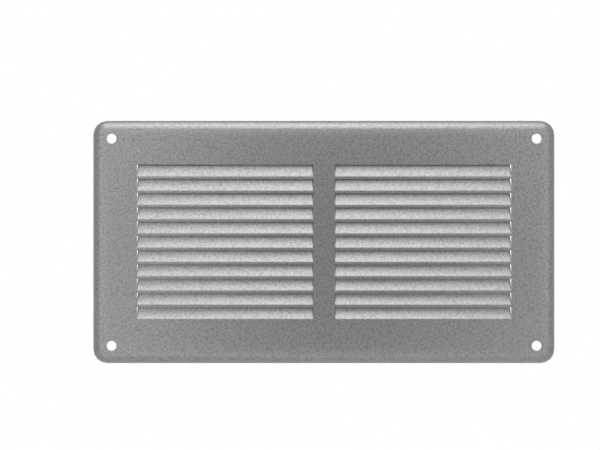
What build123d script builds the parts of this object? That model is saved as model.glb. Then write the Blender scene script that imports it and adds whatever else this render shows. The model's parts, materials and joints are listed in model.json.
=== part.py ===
from build123d import *
import os
from math import atan2, cos, degrees, radians, sin

# Louvred vent grille, pressed from one steel sheet: a flat front with a rim turned back all round,
# banks of louvres with a plain bar between them, and a fixing hole in each corner.
# Millimetres. +Z is up, +X is to the right of someone who faces the grille, and the front looks
# along -Y. The origin is the centre of the hole pattern, on the front face.

# Sheet and outline
sheet_thickness = 0.8
overall_width = 304.0
overall_height = 160.0
rim_depth = 8.0
# Outside radius of the bend from the front into the rim
rim_bend_radius = 6.4
# Plan radius of the flat front's corners, where that bend begins
front_corner_radius = 2.9

# Fixing holes, each placed from the two nearest edges
hole_diameter = 6.4
hole_inset_x = 13.5
hole_inset_z = 12.5

# Banks of louvres
bank_count = 2
side_margin = 30.0
bar_width = 14.0
# The field holds as many slats as leave at least this much above and below
least_end_margin = 29.0
slat_pitch = 9.3
# Flat strip left between one opening and the next
land_height = 1.3

# One slat: hinged on the land below it, cut free along its top edge and outer end, and pushed back.
# It leans back most just above the bend, and is dished to stand nearly upright at its free edge.
slat_root_tilt = 31.0
slat_edge_tilt = 3.0
slat_bend_radius = 1.5
# How far the free edge stands above the opening, behind the land over it
slat_overlap = 0.5
# Cut between the outer end of a slat and the side of its opening
slat_end_clearance = 0.1
# How much shorter the free edge is than the root, at the outer end
slat_end_taper = 0.6
# How far the web at the inner end has leaned into the opening where it meets the free edge
slat_web_lean = 0.8

bank_width = (overall_width - 2 * side_margin - (bank_count - 1) * bar_width) / bank_count
slats_per_bank = int((overall_height - 2 * least_end_margin + land_height) // slat_pitch)
opening_height = slat_pitch - land_height
louvre_grid = GridLocations(bank_width + bar_width, slat_pitch, bank_count, slats_per_bank)
hole_grid = GridLocations(
    overall_width - 2 * hole_inset_x, overall_height - 2 * hole_inset_z, 2, 2
)


def pan_block(inset):
    """Block with the pan's outline and rounded front edge, drawn in by the inset at front and sides."""
    outline = RectangleRounded(
        overall_width - 2 * inset,
        overall_height - 2 * inset,
        front_corner_radius + rim_bend_radius - inset,
    )
    block = extrude(Plane.XZ.offset(-inset) * outline, amount=inset - rim_depth)
    front_face = block.faces().sort_by(Axis.Y)[0]
    return fillet(front_face.edges(), rim_bend_radius - inset)


def punched(shapes):
    """Cutter that takes flat shapes, drawn on the front face, through the sheet."""
    return extrude(Plane.XZ * (Sketch() + shapes), amount=sheet_thickness, both=True)


def slat_arcs(depth):
    """Bend and dish of a slat with its root at the origin, at a depth below the face of the sheet."""
    lean = radians(slat_root_tilt)
    dish_height = opening_height + slat_overlap - slat_bend_radius * sin(lean)
    dish_radius = dish_height / (sin(lean) - sin(radians(slat_edge_tilt)))
    bend_centre = Vector(slat_bend_radius, 0)
    dish_centre = bend_centre + (slat_bend_radius + dish_radius) * Vector(-cos(lean), sin(lean))
    bend = CenterArc(bend_centre, slat_bend_radius - depth, 180, -slat_root_tilt)
    turn = slat_root_tilt - slat_edge_tilt
    dish = CenterArc(dish_centre, dish_radius + depth, -slat_root_tilt, turn)
    return bend, dish


def slat():
    """One slat of the right-hand bank, with its root on the X axis and its inner end at the left."""
    bend, dish = slat_arcs(0)
    back_bend, back_dish = slat_arcs(sheet_thickness)
    free_edge = Line(dish @ 1, back_dish @ 1)
    root = Line(back_bend @ 0, bend @ 0)
    section = make_face([bend, dish, free_edge, back_dish, back_bend, root])
    blank = extrude(Plane.YZ.offset(-bank_width / 2) * section, amount=bank_width)
    # The outer end is trimmed along a slanting line
    end = bank_width / 2 - slat_end_clearance
    top = opening_height + slat_overlap
    trim = Polyline((end, 0), (end - slat_end_taper, top), (end + top, top), (end + top, 0), close=True)
    blank -= extrude(Plane.XZ * make_face(trim), amount=rim_depth, both=True)
    # The inner end is drawn: a web leans from the side of the opening to the slat
    front = Polyline(back_dish @ 1, (0, opening_height), (0, 0), back_bend @ 0)
    web_lean = Rotation(0, 0, -degrees(atan2(slat_web_lean, (dish @ 1).X)))
    web_face = Plane.YZ * make_face([back_bend, back_dish, front])
    web = extrude(web_face, amount=-sheet_thickness)
    return blank + Pos(-bank_width / 2, 0, 0) * web_lean * web


def grille_plate():
    """The whole pressing: pan, openings, slats and fixing holes."""
    opening = Rectangle(bank_width, opening_height)
    hole = Circle(hole_diameter / 2)
    right_slat = slat()
    left_slat = mirror(right_slat, Plane.YZ)
    pan = pan_block(0) - pan_block(sheet_thickness)
    pan -= punched([place * opening for place in louvre_grid])
    for place in louvre_grid:
        x, z, _ = place.position
        pan += Pos(x, 0, z - opening_height / 2) * (right_slat if x > 0 else left_slat)
    pan -= punched([place * hole for place in hole_grid])
    return pan


os.makedirs("parts", exist_ok=True)
export_step(grille_plate(), "parts/grille_plate.step")
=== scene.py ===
"""Louvred vent grille: one pressed and painted steel sheet, dressed for rendering.

Metres, +Z up, the front looks along -Y. The sheet is worked out as a surface with its normals, given
its thickness by a parallel surface behind it, and closed with rounded edges.
"""

import json

import bpy
import numpy as np
from bpy.props import FloatProperty, FloatVectorProperty, IntProperty, PointerProperty
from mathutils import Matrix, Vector


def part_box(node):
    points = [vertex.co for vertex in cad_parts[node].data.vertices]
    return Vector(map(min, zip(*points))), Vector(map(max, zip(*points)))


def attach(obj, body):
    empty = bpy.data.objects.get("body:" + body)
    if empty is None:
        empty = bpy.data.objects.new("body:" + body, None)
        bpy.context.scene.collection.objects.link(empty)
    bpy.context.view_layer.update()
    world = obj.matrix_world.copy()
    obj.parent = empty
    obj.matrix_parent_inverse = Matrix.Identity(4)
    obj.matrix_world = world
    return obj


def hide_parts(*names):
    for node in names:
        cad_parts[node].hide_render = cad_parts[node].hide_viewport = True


bl_info = {
    "name": "Louvred Vent Grille",
    "version": (1, 0, 0),
    "blender": (4, 5, 0),
    "location": "View3D > Sidebar > Grille",
    "description": "Builds a pressed steel vent grille in hammered paint, with its stage",
    "category": "Add Mesh",
}

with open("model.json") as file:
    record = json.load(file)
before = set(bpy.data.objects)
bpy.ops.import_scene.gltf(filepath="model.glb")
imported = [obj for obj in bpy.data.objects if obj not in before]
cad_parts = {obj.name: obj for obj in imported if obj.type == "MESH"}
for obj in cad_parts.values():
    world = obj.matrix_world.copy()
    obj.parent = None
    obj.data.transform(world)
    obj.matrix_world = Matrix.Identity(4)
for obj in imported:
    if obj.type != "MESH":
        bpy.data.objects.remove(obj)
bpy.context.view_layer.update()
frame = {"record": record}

NODE = "grille_plate"
BODY = "root"
MM = 0.001
SEED = 11
# Places closer together than this count as one
GRAIN = 1e-6
FRONT = np.array((0.0, -1.0, 0.0))
HOLES = next(m for m in frame["record"]["mounts"] if m["name"] == "fixing_holes")["dims"]
LOW, HIGH = (np.array(corner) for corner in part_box(NODE))


def linear(hex_colour):
    """Linear red, green and blue of an sRGB hex colour such as "8f8c8c"."""
    srgb = np.array([int(hex_colour[i : i + 2], 16) for i in (0, 2, 4)]) / 255
    return tuple(np.where(srgb <= 0.04045, srgb / 12.92, ((srgb + 0.055) / 1.055) ** 2.4))


class PressingSizes(bpy.types.PropertyGroup):
    """Sizes of the pressed sheet that the CAD box and its mounts don't give."""

    sheet: FloatProperty(
        name="Sheet", description="Thickness of the steel", default=0.8 * MM, unit="LENGTH"
    )
    rim_bend: FloatProperty(
        name="Rim bend", description="Outside radius of the rim's bend", default=6.4 * MM, unit="LENGTH"
    )
    front_corner: FloatProperty(
        name="Front corner", description="Plan radius of the flat front", default=2.9 * MM, unit="LENGTH"
    )
    crown_fall: FloatProperty(
        name="Crown fall", description="Front's fall at its edge", default=0.17 * MM, unit="LENGTH"
    )
    crown_reach: FloatProperty(
        name="Crown reach", description="How far in that fall begins", default=5 * MM, unit="LENGTH"
    )
    side_margin: FloatProperty(
        name="Side margin", description="From the rim to the louvres", default=30 * MM, unit="LENGTH"
    )
    bar: FloatProperty(
        name="Bar", description="Plain bar between the banks", default=14 * MM, unit="LENGTH"
    )
    pitch: FloatProperty(
        name="Pitch", description="From one slat to the next", default=9.3 * MM, unit="LENGTH"
    )
    land: FloatProperty(
        name="Land", description="Flat strip between openings", default=1.3 * MM, unit="LENGTH"
    )
    slats: IntProperty(name="Slats", description="Slats in a bank", default=11, min=1)
    root_tilt: FloatProperty(
        name="Root tilt", description="Slat's lean above its bend", default=np.radians(31), subtype="ANGLE"
    )
    edge_tilt: FloatProperty(
        name="Edge tilt", description="Slat's lean at its free edge", default=np.radians(1), subtype="ANGLE"
    )
    slat_bend: FloatProperty(
        name="Slat bend", description="Outside radius at a slat's root", default=2.0 * MM, unit="LENGTH"
    )
    overlap: FloatProperty(
        name="Overlap", description="Free edge above its opening", default=0.5 * MM, unit="LENGTH"
    )
    end_gap: FloatProperty(
        name="End gap", description="Cut at a slat's outer end", default=0.1 * MM, unit="LENGTH"
    )
    end_taper: FloatProperty(
        name="End taper", description="Outer end cut in at the free edge", default=0.2 * MM, unit="LENGTH"
    )
    end_flare: FloatProperty(
        name="End flare", description="Outer end's bulge at mid-height", default=0.45 * MM, unit="LENGTH"
    )
    web_lean: FloatProperty(
        name="Web lean", description="Inner end's web, over its depth", default=0.8 * MM, unit="LENGTH"
    )
    soft_edge: FloatProperty(
        name="Soft edge", description="Reach of the rounding on cut edges", default=0.38 * MM, unit="LENGTH"
    )
    crisp_edge: FloatProperty(
        name="Crisp edge", description="The same along the slats' ends", default=0.3 * MM, unit="LENGTH"
    )
    tilt_scatter: FloatProperty(
        name="Tilt scatter", description="Spread of slats' lean", default=np.radians(0.7), subtype="ANGLE"
    )


class PaintLook(bpy.types.PropertyGroup):
    """Colours and grain of the hammered paint."""

    pale: FloatVectorProperty(
        name="Pale", description="Where the flakes lie flat", default=linear("adabac"), subtype="COLOR"
    )
    deep: FloatVectorProperty(
        name="Deep", description="In the rings between cells", default=linear("929091"), subtype="COLOR"
    )
    cell: FloatProperty(
        name="Cell", description="Width of a hammer-mark cell", default=1.35 * MM, unit="LENGTH"
    )
    relief: FloatProperty(
        name="Relief", description="Height of the hammer marks", default=0.023 * MM, unit="LENGTH"
    )


class StageLook(bpy.types.PropertyGroup):
    """Floor, light and camera."""

    floor_colour: FloatVectorProperty(
        name="Floor", description="Pale floor", default=linear("d8d8d8"), subtype="COLOR"
    )
    floor_drop: FloatProperty(
        name="Floor drop", description="Floor below the grille", default=0.25, unit="LENGTH"
    )
    floor_half: FloatProperty(
        name="Floor half", description="Half the floor's side", default=0.5, unit="LENGTH"
    )
    room_level: FloatProperty(
        name="Room", description="Brightness beside and behind the grille", default=0.72
    )
    front_level: FloatProperty(name="Front", description="Brightness in front of it", default=1.78)
    front_reach: FloatProperty(
        name="Front reach", description="Where the bright front ends", default=np.radians(48), subtype="ANGLE"
    )
    glow_level: FloatProperty(
        name="Glow", description="Brightness that the overhead light adds", default=2.2
    )
    glow_middle: FloatVectorProperty(
        name="Glow middle", description="Way to the overhead light", default=(0.0, -0.43, 0.9), subtype="XYZ"
    )
    glow_reach: FloatProperty(
        name="Glow reach", description="Where that light ends", default=np.radians(46), subtype="ANGLE"
    )
    dim_middle: FloatVectorProperty(
        name="Dim middle", description="Way to the darkest place", default=(0.06, -1.0, -0.008), subtype="XYZ"
    )
    dim_reach: FloatProperty(
        name="Dim reach", description="Where its dimming ends", default=np.radians(25), subtype="ANGLE"
    )
    backdrop_reach: FloatProperty(
        name="Backdrop", description="Where the backdrop ends", default=np.radians(40), subtype="ANGLE"
    )
    camera_place: FloatVectorProperty(
        name="Camera", description="Where the camera stands", default=(-0.0157, -0.42, 0.0112), subtype="XYZ"
    )
    lens: FloatProperty(name="Lens", description="Focal length in millimetres", default=38.7)


def grid_quads(rows, columns, keep=None):
    """Quads of a grid of points stored row by row: along the row first, then across. keep masks cells."""
    number = np.arange(rows * columns).reshape(rows, columns)
    quads = np.stack((number[:-1, :-1], number[:-1, 1:], number[1:, 1:], number[1:, :-1]), axis=-1)
    return quads.reshape(-1, 4) if keep is None else quads[keep]


def flat_grid(x, z, keep=None):
    """Flat patch of the front: every pair of an x and a z level."""
    points = np.zeros((len(z), len(x), 3))
    points[..., 0] = x
    points[..., 2] = z[:, None]
    points = points.reshape(-1, 3)
    return points, np.broadcast_to(FRONT, points.shape), grid_quads(len(z), len(x), keep)


def joined(patches):
    """Patches in one set of arrays, each still apart from the others."""
    starts = np.cumsum([0] + [len(p) for p, n, q in patches])
    points = np.concatenate([p for p, n, q in patches])
    normals = np.concatenate([n for p, n, q in patches])
    return points, normals, np.concatenate([q + s for (p, n, q), s in zip(patches, starts)])


def welded(patches):
    """One surface from patches: points that fall on the same grain of space become one point."""
    points, normals, quads = joined(patches)
    cells = np.round(points / GRAIN).astype(np.int64)
    _, first, place = np.unique(cells, axis=0, return_index=True, return_inverse=True)
    return points[first], normals[first], place.reshape(-1)[quads]


class Layout:
    """Where things lie on the front, in metres, worked out from the sizes, the CAD box and its holes."""

    def __init__(self, sizes):
        self.half_w, self.half_h = HIGH[0], HIGH[2]
        self.depth = HIGH[1]
        self.hole = np.array((HOLES["spacing_x_mm"], HOLES["spacing_y_mm"])) * MM / 2
        self.hole_radius = HOLES["hole_r_mm"] * MM + sizes.soft_edge
        self.flat_w = self.half_w - sizes.rim_bend
        self.flat_h = self.half_h - sizes.rim_bend
        self.bank_edges = np.array((sizes.bar / 2, self.half_w - sizes.side_margin))
        self.opening = sizes.pitch - sizes.land
        self.slat_height = self.opening + sizes.overlap - sizes.soft_edge
        rows = np.arange(sizes.slats) - (sizes.slats - 1) / 2
        self.roots = rows * sizes.pitch - self.opening / 2
        self.field_h = self.opening / 2 + (sizes.slats - 1) / 2 * sizes.pitch
        gap = 2 * MM
        self.block = np.array((self.bank_edges[1] + gap, self.field_h + gap))


def corner_rays(layout, sizes, step=np.radians(7.5)):
    """Points round the block that holds a corner hole, upper right corner, anticlockwise.

    Rays leave the hole's centre at about even angles and stop at the block's sides; its outer corner is
    an arc. Returns the points, the count of rays up to the end of each side and the rays' angles.
    """
    hole, block, radius = layout.hole, layout.block, sizes.front_corner
    outer = np.array((layout.flat_w, layout.flat_h))
    arc = outer - radius
    keys = np.array(
        (block, (outer[0], block[1]), (outer[0], arc[1]), (arc[0], outer[1]), (block[0], outer[1]), block)
    )
    angles = np.unwrap(np.arctan2(*(keys - hole).T[::-1]))
    counts = np.round(np.diff(angles) / step).astype(int)
    spans = [np.linspace(a, b, n, endpoint=False) for a, b, n in zip(angles[:-1], angles[1:], counts)]
    ends = np.cumsum(counts)
    angle = np.concatenate(spans)
    ray = np.stack((np.cos(angle), np.sin(angle)), axis=1)
    with np.errstate(divide="ignore"):
        reach_x = np.where(ray[:, 0] > 0, outer[0] - hole[0], block[0] - hole[0]) / ray[:, 0]
        reach_z = np.where(ray[:, 1] > 0, outer[1] - hole[1], block[1] - hole[1]) / ray[:, 1]
    reach = np.minimum(reach_x, reach_z)
    on_arc = slice(ends[1], ends[2])
    along = ray[on_arc] @ (arc - hole)
    reach[on_arc] = along + np.sqrt(along**2 - ((arc - hole) ** 2).sum() + radius**2)
    return hole + ray * reach[:, None], ends, angle


def front_levels(layout, sizes, rays, ends):
    """The x and z levels that the front's flat patches share, from the left to the right and upwards."""
    side = rays[: ends[0] + 1, 0]
    top = rays[np.r_[ends[3] : ends[4], 0], 1][::-1]
    inner, outer = layout.bank_edges
    cut = sizes.crisp_edge
    slat_end = sizes.end_gap + cut
    bank_columns, bar_columns = 25, 3
    across_bank = np.linspace(inner + slat_end, outer - slat_end, bank_columns)
    across_bar = np.linspace(0, inner - cut, bar_columns)
    right = np.concatenate((across_bar, across_bank, (outer + cut,), side))
    x = np.concatenate((-right[:0:-1], right))
    tops = layout.roots + layout.opening + sizes.soft_edge
    field = np.stack((layout.roots, tops), axis=1).ravel()
    z = np.concatenate(((-layout.block[1],), field, (layout.block[1],)))
    return x, z, top


def corner_patches(layout, rays, angle, rings=5, crowding=1.6):
    """Flat ring round each corner hole: a straight blend from the hole's circle to the block's outline.

    The steps of the blend are a power of even steps, so that they crowd towards the hole.
    """
    circle = layout.hole + layout.hole_radius * np.stack((np.cos(angle), np.sin(angle)), axis=1)
    share = np.linspace(0, 1, rings)[:, None, None] ** crowding
    plan = circle + (rays - circle) * share
    count = len(angle)
    closed = np.concatenate((plan, plan[:, :1]), axis=1)
    quads = grid_quads(rings, count + 1)[:, [0, 3, 2, 1]]
    for sign_x in (1, -1):
        for sign_z in (1, -1):
            points = np.zeros((rings * (count + 1), 3))
            points[:, 0] = sign_x * closed[..., 0].ravel()
            points[:, 2] = sign_z * closed[..., 1].ravel()
            turned = quads if sign_x * sign_z > 0 else quads[:, ::-1]
            yield points, np.broadcast_to(FRONT, points.shape), turned


def front_patches(layout, sizes, x, z, top):
    """Flat front: the middle with its openings left out, and the strips above and below."""
    inner, outer = layout.bank_edges
    cell_x = np.abs(x[:-1] + x[1:]) / 2
    cell_z = (z[:-1] + z[1:]) / 2
    in_bank = (cell_x > inner - sizes.crisp_edge) & (cell_x < outer + sizes.crisp_edge)
    above_root = cell_z[:, None] - layout.roots
    in_opening = ((above_root > 0) & (above_root < layout.opening + sizes.soft_edge)).any(axis=1)
    yield flat_grid(x, z, ~(in_opening[:, None] & in_bank))
    strip_x = x[np.abs(x) < layout.block[0] + GRAIN]
    yield flat_grid(strip_x, top)
    yield flat_grid(strip_x, -top[::-1])


def rim_patch(layout, sizes, x, z, rays, ends):
    """Bend and rim: a quarter circle and a straight wall, carried round the edge of the flat front."""
    strip = x[np.abs(x) < layout.block[0] - GRAIN]
    corner = rays[ends[0] : ends[3] + 1]
    right = np.stack((np.full(len(z) - 2, layout.flat_w), z[1:-1]), axis=1)
    top = np.stack((strip[::-1], np.full(len(strip), layout.flat_h)), axis=1)
    upper = np.concatenate((right, corner, top, corner[::-1] * (-1, 1)))
    lower = np.concatenate((right[::-1] * (-1, 1), -corner, -top, corner[::-1] * (1, -1)))
    plan = np.concatenate((upper, lower, right[:1]))
    arc = np.array((layout.flat_w, layout.flat_h)) - sizes.front_corner
    outward = plan - np.clip(plan, -arc, arc)
    outward /= np.linalg.norm(outward, axis=1)[:, None]
    bend_rows, wall_rows = 11, 4
    turn = np.linspace(0, np.pi / 2, bend_rows)
    wall = np.linspace(sizes.rim_bend, layout.depth - sizes.soft_edge, wall_rows)[1:]
    reach = np.concatenate((sizes.rim_bend * np.sin(turn), np.full(len(wall), sizes.rim_bend)))
    back = np.concatenate((sizes.rim_bend * (1 - np.cos(turn)), wall))
    lean = np.concatenate((turn, np.full(len(wall), np.pi / 2)))
    points = np.zeros((len(plan), len(reach), 3))
    points[..., [0, 2]] = plan[:, None] + outward[:, None] * reach[:, None]
    points[..., 1] = back
    normals = np.zeros_like(points)
    normals[..., [0, 2]] = outward[:, None] * np.sin(lean)[:, None]
    normals[..., 1] = -np.cos(lean)
    return points.reshape(-1, 3), normals.reshape(-1, 3), grid_quads(*points.shape[:2])


def crowned(points, normals, quads, layout, sizes):
    """The sheet with a slight crown: the front falls back by a parabola towards its edges.

    The fall is the sum of one along x and one along z. It fades out evenly down the rim, to its back edge.
    """
    plan = points[:, [0, 2]]
    flat = np.array((layout.flat_w, layout.flat_h))
    share = np.clip((np.abs(plan) - flat) / sizes.crown_reach + 1, 0, 1)
    fade = 1 - points[:, 1] / (layout.depth - sizes.soft_edge)
    fallen = points.copy()
    fallen[:, 1] += sizes.crown_fall * (share**2).sum(axis=1) * fade
    slope = 2 * sizes.crown_fall / sizes.crown_reach * share * np.sign(plan)
    tilted = normals.copy()
    tilted[:, [0, 2]] -= slope * (fade * normals[:, 1])[:, None]
    tilted /= np.linalg.norm(tilted, axis=1)[:, None]
    return fallen, tilted, quads


def slat_curve(layout, sizes, change):
    """Lean, depth and height up a slat, for each of some changes to its lean.

    A bend leaves the land, then a shallow dish turns back towards upright. Both are arcs: height and
    depth follow the sine and cosine of the lean, which grows along the bend and falls along the dish.
    """
    root_tilt, edge_tilt = sizes.root_tilt + change, sizes.edge_tilt + change
    bend_rows, dish_rows = 7, 11
    bend = np.linspace(0, 1, bend_rows)[:, None] * root_tilt
    dish = root_tilt + np.linspace(0, 1, dish_rows)[1:, None] * (edge_tilt - root_tilt)
    bend_height = sizes.slat_bend * np.sin(root_tilt)
    dish_height = layout.slat_height - bend_height
    dish_radius = dish_height / (np.sin(root_tilt) - np.sin(edge_tilt))
    bend_back = sizes.slat_bend * (1 - np.cos(bend))
    dish_back = bend_back[-1] + dish_radius * (np.cos(dish) - np.cos(root_tilt))
    dish_up = bend_height + dish_radius * (np.sin(root_tilt) - np.sin(dish))
    return (
        np.concatenate((bend, dish)),
        np.concatenate((bend_back, dish_back)),
        np.concatenate((sizes.slat_bend * np.sin(bend), dish_up)),
    )


def slat_patches(layout, sizes, x):
    """Each slat, with the web at its inner end.

    A slat's lean bows and sways a little along its length, by half a sine wave and a whole one. Its
    outer end bulges by a parabola in its height and is cut back evenly towards the free edge.
    """
    draw = np.random.default_rng(SEED)
    inner, outer = layout.bank_edges
    bank = x[(x > inner) & (x < outer)]
    share = (bank - bank[0]) / (bank[-1] - bank[0])
    for sign in (-1, 1):
        order = slice(None, None, sign)
        for root in layout.roots:
            bow, sway = draw.normal(0, sizes.tilt_scatter, 2)
            change = bow * np.sin(np.pi * share) + sway * np.sin(2 * np.pi * share)
            lean, back, up = slat_curve(layout, sizes, change)
            rise = up / layout.slat_height
            reach = share * (sizes.end_flare * 4 * rise * (1 - rise) - sizes.end_taper * rise)
            points = np.stack((sign * (bank + reach), back, root + up), axis=-1)[:, order]
            normals = np.stack((np.zeros_like(lean), -np.cos(lean), np.sin(lean)), axis=-1)[:, order]
            slat = points.reshape(-1, 3), normals.reshape(-1, 3), grid_quads(*lean.shape)
            yield slat, web_patch(layout, sizes, sign, root, back[:, 0], up[:, 0])


def web_patch(layout, sizes, sign, root, back, up):
    """Drawn end of a slat: a flat web that leans from the side of the opening into the slat's sheet.

    It starts a little behind the front and ends a little inside the slat; its x grows evenly with depth.
    """
    sunk, least_width = 0.3 * MM, 0.05 * MM
    slope = sizes.web_lean / back[-1]
    across = np.linspace(0, 1, 3)
    depth = sunk + np.maximum(back, least_width)[:, None] * across
    front_up = np.minimum(up, layout.opening)
    height = front_up[:, None] + (up - front_up)[:, None] * across
    points = np.stack((sign * (layout.bank_edges[0] + slope * depth), depth, root + height), axis=-1)
    normal = np.array((sign, -slope, 0)) / np.hypot(1, slope)
    quads = grid_quads(*depth.shape)
    points = points.reshape(-1, 3)
    return points, np.broadcast_to(normal, points.shape), quads if sign > 0 else quads[:, ::-1]


def edge_offsets(points, normals, start, stop, layout, sizes):
    """How far, and which way, the rounding of a cut edge reaches out of the sheet at each edge point.

    Every edge point has one edge that comes in and one that goes out. Each edge pushes outwards, along
    its direction crossed with the sheet's normal, by its own reach; the two pushes are solved together.
    """
    along = points[stop] - points[start]
    out = np.cross(along, (normals[start] + normals[stop]) / 2)
    out /= np.linalg.norm(out, axis=1)[:, None]
    from_cut = np.abs(np.abs(points[:, :1]) - layout.bank_edges).min(axis=1)
    near_reach = sizes.end_flare + sizes.end_gap + sizes.crisp_edge
    near = (from_cut < near_reach) & (np.abs(points[:, 2]) < layout.block[1])
    mostly, in_line = 0.5, 0.999
    crisp = near[start] & near[stop] & ((np.abs(out[:, 0]) > mostly) | (out[:, 2] > mostly))
    reach = np.where(crisp, sizes.crisp_edge, sizes.soft_edge)
    incoming = np.empty(len(points), int)
    incoming[stop] = np.arange(len(stop))
    before = incoming[start]
    cosine = (out * out[before]).sum(axis=1)
    straight = cosine > in_line
    scale = np.where(straight, 1, 1 - cosine**2)
    own = np.where(straight, reach / 2, (reach - cosine * reach[before]) / scale)
    other = np.where(straight, reach[before] / 2, (reach[before] - cosine * reach) / scale)
    return own[:, None] * out + other[:, None] * out[before]


def thickened(points, normals, quads, layout, sizes, steps=6):
    """The closed sheet: the front, a parallel back one thickness behind it, and half-ellipse edges."""
    count = len(points)
    directed = np.concatenate([quads[:, [i, (i + 1) % 4]] for i in range(4)])
    codes = directed[:, 0] * count + directed[:, 1]
    reverse = directed[:, 1] * count + directed[:, 0]
    start, stop = directed[~np.isin(codes, reverse)].T
    offset = edge_offsets(points, normals, start, stop, layout, sizes)
    half = sizes.sheet / 2
    angle = np.pi / 2 - np.pi * np.arange(1, steps) / steps
    middle = points[start] - half * normals[start]
    up, sideways = np.sin(angle)[:, None, None], np.cos(angle)[:, None, None]
    edge = middle + half * up * normals[start] + sideways * offset
    length = np.linalg.norm(offset, axis=1)[:, None]
    edge_normals = up * normals[start] / half + sideways * offset / length**2
    edge_normals /= np.linalg.norm(edge_normals, axis=2)[..., None]
    ring = np.empty((steps + 1, len(start)), int)
    ring[0] = start
    ring[1:-1] = 2 * count + np.arange((steps - 1) * len(start)).reshape(steps - 1, -1)
    ring[-1] = count + start
    place = np.empty(count, int)
    place[start] = np.arange(len(start))
    after = place[stop]
    strips = np.stack((ring[:-1, after], ring[:-1], ring[1:], ring[1:, after]), axis=-1).reshape(-1, 4)
    return (
        np.concatenate((points, points - sizes.sheet * normals, edge.reshape(-1, 3))),
        np.concatenate((normals, -normals, edge_normals.reshape(-1, 3))),
        np.concatenate((quads, quads[:, ::-1] + count, strips)),
    )


def sheet_mesh(name, points, normals, quads):
    """A mesh from arrays of points, point normals and quads, shaded smooth by those normals."""
    mesh = bpy.data.meshes.new(name)
    mesh.vertices.add(len(points))
    mesh.vertices.foreach_set("co", points.astype(np.float32).ravel())
    mesh.loops.add(quads.size)
    mesh.loops.foreach_set("vertex_index", quads.astype(np.int32).ravel())
    mesh.polygons.add(len(quads))
    mesh.polygons.foreach_set("loop_start", np.arange(0, quads.size, 4, dtype=np.int32))
    mesh.update(calc_edges=True)
    if mesh.validate():
        raise RuntimeError("the pressed sheet has faces that don't hold together")
    mesh.normals_split_custom_set_from_vertices(normals.astype(np.float32))
    return mesh


def add_node(tree, kind, settings=None, links=None):
    """A new shader node: settings name attributes or input sockets, and links join sockets to inputs."""
    node = tree.nodes.new(kind)
    for key, value in (settings or {}).items():
        if isinstance(key, str) and hasattr(node, key):
            setattr(node, key, value)
        else:
            node.inputs[key].default_value = value
    for key, socket in (links or {}).items():
        tree.links.new(socket, node.inputs[key])
    return node


def hammered_paint(look):
    """Hammered metallic enamel, sprayed on steel and left to pull into cells as it dries.

    The eye gets a mid-grey with a soft metallic sheen: pale cells where the aluminium flakes lie flat,
    darker rings between them, and a gloss that breaks up over the low marks.
    """
    material = bpy.data.materials.new("hammered_metallic_enamel_on_steel")
    material.use_nodes = True
    tree = material.node_tree
    tree.nodes.clear()
    place = add_node(tree, "ShaderNodeTexCoord").outputs["Object"]
    drift = add_node(
        tree, "ShaderNodeTexNoise", {"Scale": 0.4 / look.cell, "Detail": 2.0}, {"Vector": place}
    )
    pull = add_node(
        tree,
        "ShaderNodeVectorMath",
        {"operation": "MULTIPLY_ADD", 1: (look.cell,) * 3},
        {0: drift.outputs["Color"], 2: place},
    )
    cells = add_node(
        tree,
        "ShaderNodeTexVoronoi",
        {"feature": "SMOOTH_F1", "Scale": 1 / look.cell, "Smoothness": 0.6, "Randomness": 1.0},
        {"Vector": pull.outputs[0]},
    )
    grit = add_node(
        tree, "ShaderNodeTexNoise", {"Scale": 2.2 / look.cell, "Detail": 3.0}, {"Vector": place}
    )
    grit_share = 0.35
    height = add_node(
        tree,
        "ShaderNodeMath",
        {"operation": "MULTIPLY_ADD", 1: -grit_share},
        {0: grit.outputs["Fac"], 2: cells.outputs["Distance"]},
    )
    tone = add_node(
        tree,
        "ShaderNodeMapRange",
        {"From Min": 0.05, "From Max": 0.75},
        {"Value": cells.outputs["Distance"]},
    )
    colour = add_node(
        tree,
        "ShaderNodeMix",
        {"data_type": "RGBA", 6: (*look.pale, 1), 7: (*look.deep, 1)},
        {0: tone.outputs[0]},
    )
    marks = add_node(
        tree,
        "ShaderNodeBump",
        {"Strength": 1.0, "Distance": look.relief, "invert": True},
        {"Height": height.outputs[0]},
    )
    paint = add_node(
        tree,
        "ShaderNodeBsdfPrincipled",
        {"Metallic": 0.85, "Roughness": 0.36, "Coat Weight": 0.25, "Coat Roughness": 0.2},
        {"Base Color": colour.outputs[2], "Normal": marks.outputs[0], "Coat Normal": marks.outputs[0]},
    )
    add_node(tree, "ShaderNodeOutputMaterial", links={"Surface": paint.outputs[0]})
    return material


def pale_floor(colour):
    """Matt painted board: an even pale surface that only takes the grille's shadow."""
    material = bpy.data.materials.new("matt_painted_board")
    material.use_nodes = True
    shader = material.node_tree.nodes["Principled BSDF"]
    shader.inputs["Base Color"].default_value = (*colour, 1)
    shader.inputs["Roughness"].default_value = 0.9
    return material


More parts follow.
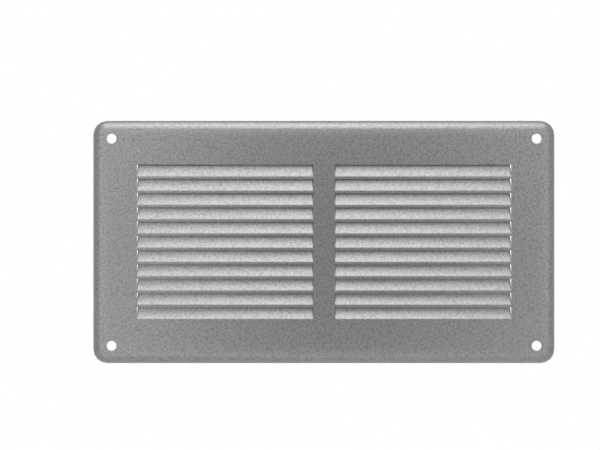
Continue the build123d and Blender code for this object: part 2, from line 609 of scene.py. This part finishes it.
def room_light(look):
    """World: a plain studio room, brighter in front of the grille and overhead, with a white backdrop.

    Both lights fade smoothly with the angle from their middles, and all light dims away round the camera.
    The camera sees white all round; reflections see it only where the backdrop stands, behind the grille.
    """
    world = bpy.data.worlds.new("studio_room")
    world.use_nodes = True
    tree = world.node_tree
    tree.nodes.clear()
    towards = add_node(tree, "ShaderNodeTexCoord").outputs["Generated"]
    path = add_node(tree, "ShaderNodeLightPath")

    def facing(middle, reach, low, high):
        """A value that goes smoothly from low, at an angle from the middle, to high at the middle."""
        cosine = add_node(
            tree,
            "ShaderNodeVectorMath",
            {"operation": "DOT_PRODUCT", 1: Vector(middle).normalized()},
            {0: towards},
        )
        return add_node(
            tree,
            "ShaderNodeMapRange",
            {"interpolation_type": "SMOOTHSTEP", "From Min": np.cos(reach), "From Max": 1.0}
            | {"To Min": low, "To Max": high},
            {"Value": cosine.outputs["Value"]},
        ).outputs[0]

    level = facing((0, -1, 0), look.front_reach, look.room_level, look.front_level)
    glow = facing(look.glow_middle, look.glow_reach, 0.0, look.glow_level)
    level = add_node(tree, "ShaderNodeMath", {"operation": "ADD"}, {0: level, 1: glow}).outputs[0]
    dim = facing(look.dim_middle, look.dim_reach, 1.0, 0.0)
    level = add_node(tree, "ShaderNodeMath", {"operation": "MULTIPLY"}, {0: level, 1: dim}).outputs[0]
    studio = add_node(tree, "ShaderNodeBackground", links={"Strength": level})
    white = add_node(tree, "ShaderNodeBackground", {"Color": (1, 1, 1, 1), "Strength": 1.0})
    mirrored = add_node(
        tree,
        "ShaderNodeMath",
        {"operation": "MAXIMUM"},
        {0: path.outputs["Is Glossy Ray"], 1: path.outputs["Is Transmission Ray"]},
    )
    behind = facing((0, 1, 0), look.backdrop_reach, 0.0, 1.0)
    backdrop = add_node(
        tree, "ShaderNodeMath", {"operation": "MULTIPLY"}, {0: mirrored.outputs[0], 1: behind}
    )
    seen = add_node(
        tree,
        "ShaderNodeMath",
        {"operation": "MAXIMUM"},
        {0: path.outputs["Is Camera Ray"], 1: backdrop.outputs[0]},
    )
    shown = add_node(
        tree, "ShaderNodeMixShader", links={0: seen.outputs[0], 1: studio.outputs[0], 2: white.outputs[0]}
    )
    add_node(tree, "ShaderNodeOutputWorld", links={0: shown.outputs[0]})
    return world


class GRILLE_OT_press_sheet(bpy.types.Operator):
    """Presses the louvred sheet and paints it"""

    bl_idname = "grille.press_sheet"
    bl_label = "Pressed sheet"

    def execute(self, context):
        sizes = context.scene.grille_pressing
        layout = Layout(sizes)
        rays, ends, angle = corner_rays(layout, sizes)
        x, z, top = front_levels(layout, sizes, rays, ends)
        slats, webs = zip(*slat_patches(layout, sizes, x))
        patches = [
            *front_patches(layout, sizes, x, z, top),
            *corner_patches(layout, rays, angle),
            rim_patch(layout, sizes, x, z, rays, ends),
            *slats,
        ]
        sheet = thickened(*crowned(*welded(patches), layout, sizes), layout, sizes)
        web_sheets = thickened(*joined(webs), layout, sizes)
        mesh = sheet_mesh("grille_sheet", *joined((sheet, web_sheets)))
        mesh.materials.append(hammered_paint(context.scene.grille_paint))
        grille = bpy.data.objects.new("grille_sheet", mesh)
        context.scene.collection.objects.link(grille)
        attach(grille, BODY)
        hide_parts(NODE)
        return {"FINISHED"}


class GRILLE_OT_set_stage(bpy.types.Operator):
    """Lays the floor, lights the room and stands the camera"""

    bl_idname = "grille.set_stage"
    bl_label = "Stage"

    def execute(self, context):
        scene = context.scene
        look = scene.grille_stage
        half, level = look.floor_half, LOW[2] - look.floor_drop
        corners = [(-half, -half, level), (half, -half, level), (half, half, level), (-half, half, level)]
        mesh = bpy.data.meshes.new("floor")
        mesh.from_pydata(corners, [], [(0, 1, 2, 3)])
        mesh.materials.append(pale_floor(look.floor_colour))
        floor = bpy.data.objects.new("floor", mesh)
        scene.collection.objects.link(floor)
        scene.world = room_light(look)
        camera = bpy.data.objects.new("camera", bpy.data.cameras.new("camera"))
        camera.data.lens = look.lens
        camera.location = look.camera_place
        camera.rotation_euler = (np.pi / 2, 0, 0)
        scene.collection.objects.link(camera)
        scene.camera = camera
        scene.view_settings.view_transform = "Standard"
        return {"FINISHED"}


class GRILLE_PT_panel(bpy.types.Panel):
    """Sidebar panel with the grille's steps and sizes"""

    bl_idname = "GRILLE_PT_panel"
    bl_label = "Louvred Vent Grille"
    bl_space_type = "VIEW_3D"
    bl_region_type = "UI"
    bl_category = "Grille"

    def draw(self, context):
        for step in (GRILLE_OT_press_sheet, GRILLE_OT_set_stage):
            self.layout.operator(step.bl_idname)
        for name in GROUPS:
            group = getattr(context.scene, name)
            for key in group.bl_rna.properties.keys():
                if key not in ("name", "rna_type"):
                    self.layout.prop(group, key)


GROUPS = {"grille_pressing": PressingSizes, "grille_paint": PaintLook, "grille_stage": StageLook}
CLASSES = (*GROUPS.values(), GRILLE_OT_press_sheet, GRILLE_OT_set_stage, GRILLE_PT_panel)


def register():
    for item in CLASSES:
        bpy.utils.register_class(item)
    for name, group in GROUPS.items():
        setattr(bpy.types.Scene, name, PointerProperty(type=group))


def unregister():
    for name in GROUPS:
        delattr(bpy.types.Scene, name)
    for item in reversed(CLASSES):
        bpy.utils.unregister_class(item)


def main():
    register()
    bpy.ops.grille.press_sheet()
    bpy.ops.grille.set_stage()


if __name__ == "__main__":
    main()
